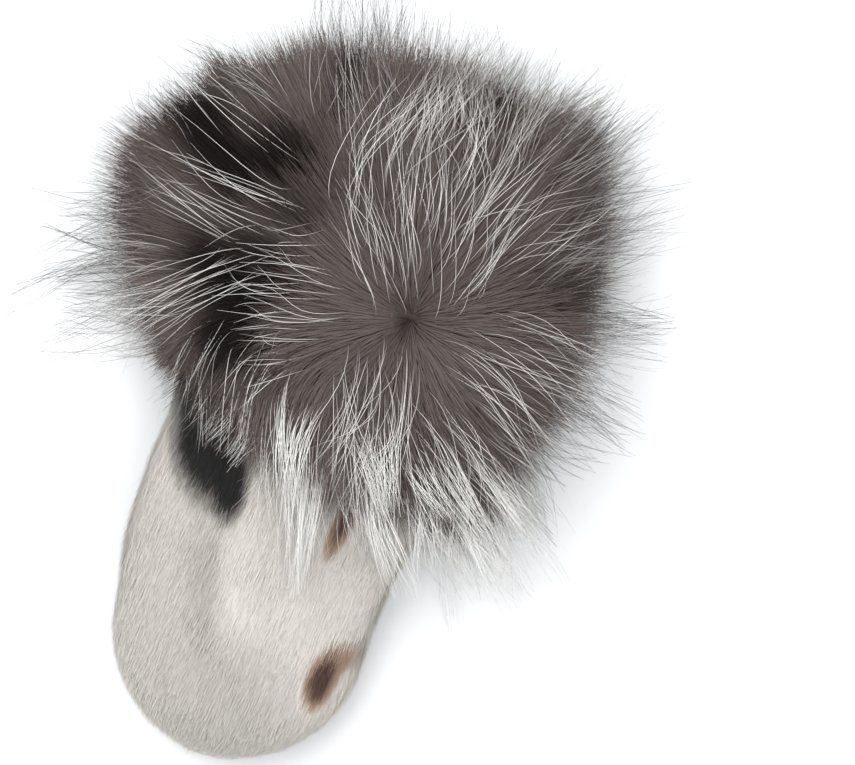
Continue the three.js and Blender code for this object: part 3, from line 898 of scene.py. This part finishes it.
def cuff_groom():
    """The fields of the soft hair, the guard hair and the fringe on the underfur's body."""
    x, y = across_and_up(cuff_points)
    over = smoothstep(-0.5, 0.4, cuff_facing[..., 2])
    rim = 1 - smoothstep(0.15, 0.8, cuff_facing[..., 2])
    ones = np.ones(x.shape)

    def left_of(near, far):
        return step_mm(near, far, -x)

    def beyond(near, far):
        return step_mm(near, far, y)

    # Combed away from the swirl. Before the swirl, the fur is drawn together towards the fingertips, and
    # on the little finger's side it falls over the hand.
    away_x, away_y = from_swirl(x, y, over)
    away = np.hypot(away_x, away_y) + 1e-6
    strength = HAIR_SWEEP * away / (away + SOFTEN)
    comb = np.stack([away_x / away * strength, away_y / away * strength, np.zeros_like(x)], -1)
    fall = step_mm(-12, 20, -away_y) * step_mm(28, 65, -away_x) * over
    before = step_mm(5, 35, -away_y) * over
    before_middle = (1 - step_mm(50, 100, -away_x)) * (1 - step_mm(15, 55, away_x))
    narrowed = 0.6 * before * step_mm(-20, 40, -away_x) * step_mm(-130, -90, away_x)
    comb[..., 0] *= 1 - narrowed
    comb[..., 0] += 0.75 * before * before_middle
    pull = 2.2 * fall * (1 - 0.7 * left_of(62, 90))
    comb[..., 1] -= 0.6 * pull
    soft_lean = unit(cuff_facing * SOFT_STAND + comb)
    comb[..., 1] -= 0.4 * pull + 1.1 * left_of(60, 80) * (1 - beyond(195, 240))
    guard_lean = unit(cuff_facing * HAIR_STAND + comb)

    # Zones, each 1 inside and 0 outside with a soft border.
    centre = np.exp(-((away / CENTRE_SIZE) ** 2)) * over
    front = 1 - smoothstep(CUFF_START - 30 * MM, CUFF_START + 6 * MM, y)
    little_front = front * (1 - step_mm(-36, 0, x))
    top_edge = beyond(300, 335)
    left_edge = left_of(70, 95)
    corner = left_of(20, 70) * beyond(270, 318)
    low_left = left_of(60, 80) * (1 - beyond(215, 245))
    far_lobe = left_of(5, 40) * beyond(232, 256)
    soft_fall = fall * left_of(35, 65)
    bare_side = left_of(45, 65) * (1 - beyond(196, 222))
    silver_top = step_mm(5, 20, x) * (1 - step_mm(60, 80, x))
    outer = step_mm(55, 80, np.abs(x - 5 * MM)) + beyond(285, 315)
    outer = np.clip(outer + rim, 0, 1) * (1 - front * (1 - left_edge))

    # Guard hair is sparse where the underfur's tone is low, as in the valleys' painted shade, so that the
    # darker underfur shows. The fringe grows along the front and the top edge, at the left, and low on the
    # left.
    clear = np.clip(1 - 1.5 * np.clip(0.5 - cuff_tone, 0, 1), 0.15, 1)
    calm = (1 - 0.9 * little_front) * (1 - 0.5 * far_lobe) * (1 - 0.55 * fall)
    shorter = 1 - 0.45 * corner - 0.45 * little_front
    dark_tips = (1 - 0.35 * silver_top) * outer
    soft_reach = ones - 0.35 * centre + 0.15 * rim - 0.2 * little_front
    soft_reach = soft_reach - 0.5 * np.maximum(soft_fall, bare_side) - 0.4 * corner
    guard_thick = (0.24 + 0.6 * rim * over * (1 - little_front)) * (1 - 0.85 * centre) * clear * calm
    fringe_reach = shorter + 0.2 * left_edge * (1 - corner) - 0.3 * top_edge - 0.1 * fall * (1 - low_left)
    fringe_thick = front * (1 - 0.92 * little_front) + (0.3 + 0.6 * silver_top) * top_edge
    fringe_thick = fringe_thick + 0.5 * left_edge * (1 - 0.8 * far_lobe) + 0.7 * low_left
    return {
        "soft_surface": dict(
            lean=soft_lean,
            reach=np.clip(soft_reach, 0.25, 2),
            thick=ones - 0.45 * (1 - over),
            gather=ones,
            tone=np.clip(cuff_tone + 0.06 * front + 0.3 * low_left, 0, 1),
        ),
        "guard_surface": dict(
            lean=guard_lean,
            reach=shorter - 0.2 * centre - 0.1 * (1 - over) - 0.12 * rim - 0.36 * fall,
            thick=guard_thick,
            gather=ones,
            tone=np.clip(0.36 + 0.56 * dark_tips, 0, 1),
        ),
        "fringe_surface": dict(
            lean=guard_lean,
            reach=fringe_reach,
            thick=np.clip(fringe_thick, 0, 1),
            gather=ones - 0.4 * top_edge,
            tone=np.clip(0.12 + 0.78 * dark_tips + 0.2 * little_front, 0, 1),
        ),
    }


soft_surface, guard_surface, fringe_surface = (
    groomed(name, cuff_points, True, facing=cuff_facing, **fields) for name, fields in cuff_groom().items()
)

# %% Grow the fox fur
SOFT = dict(
    Strands_per_cm2=74.0, Length=0.021, Rise=0.14, Width=0.0005, Stray=0.07, Bend=0.05, Droop=0.03,
    Clumps_per_cm2=1.2, Clumping=0.1, Twist=0.08, Uneven_Tone=0.035, Uneven_Length=0.4,
)
WISPS = {**SOFT, "Length": 0.026, "Width": 0.0003, "Stray": 0.12, "Uneven_Length": 0.5}
GUARD = dict(
    Strands_per_cm2=15.0, Length=0.064, Rise=0.36, Width=0.0003, Stray=0.42, Bend=0.28, Droop=0.14,
    Clumps_per_cm2=0.5, Clumping=0.72, Twist=0.5, Uneven_Tone=0.22, Uneven_Length=0.35,
)
FRINGE = dict(
    Strands_per_cm2=15.0, Length=0.058, Rise=0.3, Width=0.00036, Stray=0.26, Bend=0.2, Droop=0.26,
    Clumps_per_cm2=0.38, Clumping=0.97, Twist=0.5, Uneven_Tone=0.14, Uneven_Length=0.4,
)
for name, surface, tree, material, seed, amounts in (
    ("underfur_1", soft_surface, SOFT_TREE, soft_finish, 7, SOFT),
    ("underfur_2", soft_surface, SOFT_TREE, soft_finish, 8, WISPS),
    ("guard_hair", guard_surface, GUARD_TREE, guard_finish, 3, GUARD),
    ("guard_fringe", fringe_surface, GUARD_TREE, guard_finish, 5, FRINGE),
):
    dress(grow(name, surface, tree, material, seed, **amounts), None, "fox_fur")

# %% [markdown]
# ## The pelt inside the cuff
#
# Inside, the cuff shows the skin side of its own pelt: pale, napped and a little wavy. It is a tube of
# the hand's own section, so it is made as two grids that meet at both edges.

# %% The pelt
TUBE_RINGS = 40
TUBE_STEPS = 120
tube_y = np.linspace(CUFF_START, CUFF_END, TUBE_RINGS)[:, None]
tube_gaps = (SEAM_GAP + PELT_WALL, SEAM_GAP)
tube_walls = [hand_point(tube_y, full_turn(TUBE_STEPS), -gap, -gap) for gap in tube_gaps]
pelt = ring_of_grids("cuff_pelt", tube_walls[0], tube_walls[1][::-1])
suede, desk, shader = finish("pelt's skin side", Roughness=0.9, Specular_IOR_Level=0.2)
nap = noise(desk, 900.0, 5.0)
suede_stops = colours((0.3, 168, 150, 128), (0.7, 205, 190, 168))
paint(desk, shader, suede_stops, noise(desk, 45.0) * 0.7 + nap * 0.3)
bump(desk, shader, nap, 0.0004)
dress(pelt, suede, "pelt_skin", "cuff_pelt")

# %% [markdown]
# ## The back of the hand
#
# The back is one skin of short, laid hair. It wraps round the sides, so a rim shows round the leather
# from below, cream where its side hair is painted lighter as painted light. The skin is a shell with the
# hand's own sections, open along the palm. Its hair is laid towards the fingertips, and its tone comes
# from soft patches: grey on the left, a darker grey stripe of painted shade along the dent on the left,
# cream on the right, black by the cuff, and two brown spots.

# %% The markings
# Each row: the middle, in millimetres from the middle of the hand and from the fingertips, the half width,
# the half length, how far it is turned, in degrees, how soft its edge is, and its tone.
MARKINGS_AND_SHADE = named_rows(
    "x y wide long turn soft tone",
    (-52, 70, 34, 105, 8, 0.9, 0.41),
    (0, 28, 62, 48, 0, 0.8, 0.395),
    # A darker grey stripe along the dent on the left: painted shade.
    (-20, 92, 15, 46, 14, 0.9, 0.375),
    (-9, 99, 10, 32, 10, 0.9, 0.5),
    (38, 86, 24, 26, -20, 0.9, 0.5),
    (60, 58, 8, 24, -10, 0.9, 0.5),
    (-42, 190, 25, 30, 16, 0.4, 0.0),
    (-37, 160, 21, 32, 16, 0.4, 0.0),
    (-23, 139, 9, 17, 12, 0.5, 0.0),
    (50, 71, 7, 17, -38, 0.8, 0.74),
    (45, 60, 7.5, 17, -6, 0.7, 0.98),
    (35, 140, 5.5, 21, -10, 0.8, 0.97),
)


def coat_tone(x, y):
    mottle = 0.012 * np.sin(x / (9 * MM) + 2 * np.sin(y / (19 * MM)))
    tone = 0.455 + mottle * np.sin(y / (13 * MM) + x / (23 * MM))
    for row in MARKINGS_AND_SHADE:
        turn = math.radians(row["turn"])
        right, up = x - row["x"] * MM, y - row["y"] * MM
        across = (right * math.cos(turn) + up * math.sin(turn)) / (row["wide"] * MM)
        along = (up * math.cos(turn) - right * math.sin(turn)) / (row["long"] * MM)
        share = 1 - smoothstep(1 - row["soft"], 1 + 0.5 * row["soft"], np.hypot(across, along))
        tone = tone + (row["tone"] - tone) * share
    return tone


# %% The skin
PILE = 2.4 * MM  # the depth of the laid hair
SKIN_RINGS = 90
SKIN_STEPS = 110


def wrapped_arc(y, wall, under):
    """Points over the back from one edge of the palm to the other, at each y."""
    form, rim = section(y, wall, under), section(y, PALM_RIM - SEAM_GAP)
    thumb_end = np.arccos(np.clip(rim["thumb"] / np.maximum(form["thumb"], 1e-6), 0, 1))
    little_end = np.arccos(np.clip(rim["little"] / np.maximum(form["little"], 1e-6), 0, 1))
    share = np.linspace(0, 1, SKIN_STEPS)[None, :]
    turn = -thumb_end + (np.pi + little_end + thumb_end) * share
    return hand_point(y, turn, wall, under)


skin_share = np.linspace(0, 1, SKIN_RINGS)[:, None] ** 1.8
skin_y = PILE + 0.2 * MM + (TUCKED_END - PILE) * skin_share
skin_outer = wrapped_arc(skin_y, PILE, PILE)
back, back_points = shell("back_skin", skin_outer, wrapped_arc(skin_y, SKIN_WALL, LEATHER_WALL))
add_attributes(back, tone=coat_tone(*across_and_up(back_points)))

skin_finish, desk, shader = finish("haired skin", Roughness=0.8, Specular_IOR_Level=0.2)
laid = noise(desk, 700.0, 3.0, (1, 0.12, 1))
skin_stops = colours(
    (0.0, 10, 9, 9), (0.25, 118, 112, 106), (0.5, 208, 203, 195), (0.75, 152, 122, 104), (1.0, 62, 46, 38)
)
paint(desk, shader, skin_stops, tone_attribute(desk) + (laid - 0.5) * 0.06)
bump(desk, shader, laid, 0.0006)
dress(back, skin_finish, "haired_skin", "back_panel")

# %% The coat
COAT_END = CUFF_START - 4 * MM
coat_rows = skin_y[:, 0] < COAT_END
coat_points = skin_outer[coat_rows]
coat_facing = facing_of(coat_points)
coat_facing[:, 0] = coat_facing[:, 1]
coat_facing[:, -1] = coat_facing[:, -2]
laid_way = np.broadcast_to(np.array([-0.14, -1.0, 0.0]), coat_points.shape)
along_skin = laid_way - coat_facing * (laid_way * coat_facing).sum(-1, keepdims=True)
coat_side = 1 - smoothstep(0.1, 0.6, coat_facing[..., 2])
coat_lean = unit(unit(along_skin) + coat_facing * (0.12 + 0.1 * coat_side)[..., None])
hair_tone = coat_tone(*across_and_up(coat_points))
coat_ones = np.ones(hair_tone.shape)
# Where the skin faces sideways, the plain coat's hair is painted lighter, towards cream: painted light.
plain_coat = np.abs(hair_tone - 0.44) < 0.1
hair_tone = hair_tone + (0.5 - hair_tone) * coat_side * plain_coat
coat_surface = groomed(
    "coat_surface", coat_points, False, facing=coat_facing, lean=coat_lean,
    reach=1 - 0.6 * np.clip(-coat_facing[..., 1], 0, 1),
    thick=coat_ones, gather=coat_ones, tone=hair_tone,
)
coat = grow(
    "short_coat", coat_surface, COAT_TREE, coat_finish, 11, Strands_per_cm2=318.0, Length=0.0105, Rise=0.0,
    Width=0.00034, Stray=0.07, Bend=0.0, Droop=0.02, Clumps_per_cm2=2.0, Clumping=0.1, Twist=0.1,
    Uneven_Tone=0.02, Uneven_Length=0.35,
)
dress(coat, None, "haired_skin")

# %% [markdown]
# ## The leather palm and thumb
#
# The palm is a flat panel of soft black leather, and the thumb is a pouch folded under it. Both come
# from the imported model's formulas in finer steps, with the small creases that soft leather takes. The
# thumb opens into the hand through an oval hole, so both are cut by one oval column.

# %% Thumb sizes
THUMB_LENGTH = 116 * MM
THUMB_WIDTH = 43 * MM
THUMB_TIP = (-2.7 * MM, 91 * MM)
THUMB_LEAN = math.radians(36)
THUMB_TURN = math.radians(17)
THUMB_POWER = 3
SIDE_TURN = 0.86
THINNEST = 1 * MM
CLEAR_OF_FLOOR = 0.1 * MM
TIP_BLUNTNESS = 0.25
HOLE_LENGTH = 44 * MM
HOLE_WIDTH = 30 * MM
HOLE_MARGIN = 7 * MM
HOLE_STEPS = 64
THUMB_SECTIONS = named_rows(
    "at wide",
    (0.0, 0.96),
    (0.3, 1.0),
    (0.6, 1.06),
    (0.85, 1.16),
    (1.0, 1.1),
)
LINE_STEPS = 60
line_heading = THUMB_LEAN - THUMB_TURN * np.linspace(0, 1, LINE_STEPS + 1)
line_step = THUMB_LENGTH / LINE_STEPS
line_x = THUMB_TIP[0] + line_step * np.concatenate([[0], np.sin(line_heading[:-1]).cumsum()])
line_y = THUMB_TIP[1] + line_step * np.concatenate([[0], np.cos(line_heading[:-1]).cumsum()])


def thumb_at(distance):
    """Where the thumb's middle line is at a distance from its tip, and which way it heads."""
    place = distance / line_step
    steps = np.arange(LINE_STEPS + 1)
    return [np.interp(place, steps, values) for values in (line_x, line_y, line_heading)]


# %% Leather pieces and their cut
def crease(x, y, depth):
    """Fine, uneven creases that run mostly along the hand."""
    run = np.sin(x / (3.1 * MM) + 1.5 * np.sin(y / (21 * MM))) * np.sin(y / (34 * MM) + x / (19 * MM))
    fine = np.sin(x / (1.7 * MM) - y / (11 * MM) + 2 * np.sin(y / (15 * MM) + 1))
    return depth * (0.6 * run + 0.25 * fine)


def hole_column():
    """The oval column that opens the palm into the thumb."""
    x, y, heading = thumb_at(THUMB_LENGTH - HOLE_LENGTH / 2 - HOLE_MARGIN)
    turn = full_turn(HOLE_STEPS)[0]
    across, along = np.cos(turn) * HOLE_WIDTH / 2, np.sin(turn) * HOLE_LENGTH / 2
    oval_x = x + across * np.cos(heading) + along * np.sin(heading) + SHIFT[0]
    oval_y = y - across * np.sin(heading) + along * np.cos(heading) + SHIFT[1]
    ends = (3 * LEATHER_WALL, HAND_HEIGHT)
    rings = [np.stack([oval_x, oval_y, np.full(HOLE_STEPS, z)], -1) for z in ends]
    lids = [range(HOLE_STEPS - 1, -1, -1), range(HOLE_STEPS, 2 * HOLE_STEPS)]
    faces = grid_faces(2, HOLE_STEPS, False, True) + lids
    column = new_object("hole_column", np.concatenate(rings), faces)
    outward(column)
    return column


def cut(piece, tool):
    modifier = piece.modifiers.new("cut", "BOOLEAN")
    modifier.operation = "DIFFERENCE"
    modifier.solver = "EXACT"
    modifier.object = tool
    bpy.context.view_layer.update()
    graph = bpy.context.evaluated_depsgraph_get()
    piece.data = bpy.data.meshes.new_from_object(piece.evaluated_get(graph))
    piece.modifiers.clear()


# %% The palm
PALM_RINGS = 130
PALM_STEPS = 100
PALM_CREASE = 0.35 * MM
EDGE_ROLL = 0.9 * MM
palm_y = PALM_RIM + 0.1 * MM + (TUCKED_END - PALM_RIM) * np.linspace(0, 1, PALM_RINGS)[:, None] ** 1.5
palm_form = section(palm_y, PALM_RIM)
palm_share = np.sin(np.linspace(-np.pi / 2, np.pi / 2, PALM_STEPS))[None, :]
palm_x = np.where(palm_share > 0, palm_form["thumb"], palm_form["little"]) * palm_share
palm_low = lower_side(palm_x, palm_y)
edge = 1 - np.abs(palm_share)
nose_edge = np.clip((palm_y - PALM_RIM) / (12 * MM), 0, 1)
quiet = smoothstep(0, 0.08, edge) * smoothstep(0, 0.5, nose_edge)
palm_low = palm_low + (PALM_CREASE + crease(palm_x, palm_y, PALM_CREASE)) * quiet
roll = EDGE_ROLL * (1 - smoothstep(0, 0.035, edge)) + EDGE_ROLL * (1 - smoothstep(0, 0.2, nose_edge))
palm_low = np.maximum(palm_low + roll, CLEAR_OF_FLOOR)
palm_high = palm_low + LEATHER_WALL - 0.5 * roll
palm_skins = [np.stack([palm_x + 0 * z, palm_y + 0 * z, z], -1) + SHIFT for z in (palm_low, palm_high)]
palm, _ = shell("palm_leather", *palm_skins)
hole = hole_column()
cut(palm, hole)

# %% The thumb
THUMB_STEPS = 72
THUMB_CREASE = 0.25 * MM
INNER_TOP = -2.2 * MM  # the inner skin's top, under the palm


def rounded(wave):
    """A sine or cosine that makes a rounded box in place of a circle."""
    return np.sign(wave) * np.abs(wave) ** (2 / THUMB_POWER)


def thumb_skin(wall, over_top, rings):
    """Rings of the thumb's form, its wall moved in."""
    share = 0.002 + 0.998 * np.linspace(0, 1, rings)[:, None] ** 1.5
    length = THUMB_LENGTH - 2 * wall
    x, y, heading = thumb_at(wall + share * length)
    end = round_end(share * length, THUMB_WIDTH / 2 - wall)
    half = (column(THUMB_SECTIONS, "wide", share) * THUMB_WIDTH / 2 - wall) * end
    turn = full_turn(THUMB_STEPS)
    across = rounded(np.cos(turn)) * half
    at_x, at_y = x + across * np.cos(heading), y - across * np.sin(heading)
    top = np.maximum(lower_side(at_x, at_y, SIDE_TURN) + over_top, 2 * wall + THINNEST)
    middle = (top + wall) / 2
    swell = np.maximum(end, TIP_BLUNTNESS) * rounded(np.sin(turn))
    z = middle + (middle - wall) * swell
    if wall == 0:
        z = np.maximum(z + crease(at_y, at_x, THUMB_CREASE) * (swell < 0), CLEAR_OF_FLOOR)
    return np.stack([at_x, at_y, z], -1) + SHIFT


thumb_skins = [thumb_skin(0, -SEAM_GAP, 70), thumb_skin(LEATHER_WALL, INNER_TOP, 40)]
thumb_faces, first = [], 0
for skin in thumb_skins:
    last = first + (len(skin) - 1) * THUMB_STEPS
    skin_faces = grid_faces(len(skin), THUMB_STEPS, False, True)
    thumb_faces += [tuple(first + v for v in face) for face in skin_faces]
    thumb_faces += [range(first, first + THUMB_STEPS), range(last, last + THUMB_STEPS)]
    first = last + THUMB_STEPS
thumb = new_object("thumb_leather", np.concatenate(thumb_skins), thumb_faces)
outward(thumb)
cut(thumb, hole)

# %% The leather's finish
leather, desk, shader = finish("soft black leather", Specular_IOR_Level=0.5)
grain_place = desk.make("ShaderNodeTexCoord", out="Object")
cells = {"Vector": grain_place, "Scale": 900.0}
grain = desk.make("ShaderNodeTexVoronoi", cells, feature="DISTANCE_TO_EDGE")
grain = grain.step(0.0, 0.25)
soft_wave = noise(desk, 60.0, 4.0, (1, 0.35, 1))
leather_stops = colours((0.3, 22, 22, 24), (0.75, 38, 38, 41))
paint(desk, shader, leather_stops, soft_wave * 0.8 + grain * 0.2)
link(0.36 + soft_wave * 0.2 + grain * 0.05, shader, "Roughness")
bump(desk, shader, soft_wave * 3 + grain * 0.25, 0.0006)
dress(palm, leather, "leather", "palm_panel")
dress(thumb, leather, "leather", "thumb")

# %% Clear the helpers
for helper in (soft_surface, guard_surface, fringe_surface, coat_surface, hole):
    bpy.data.objects.remove(helper)
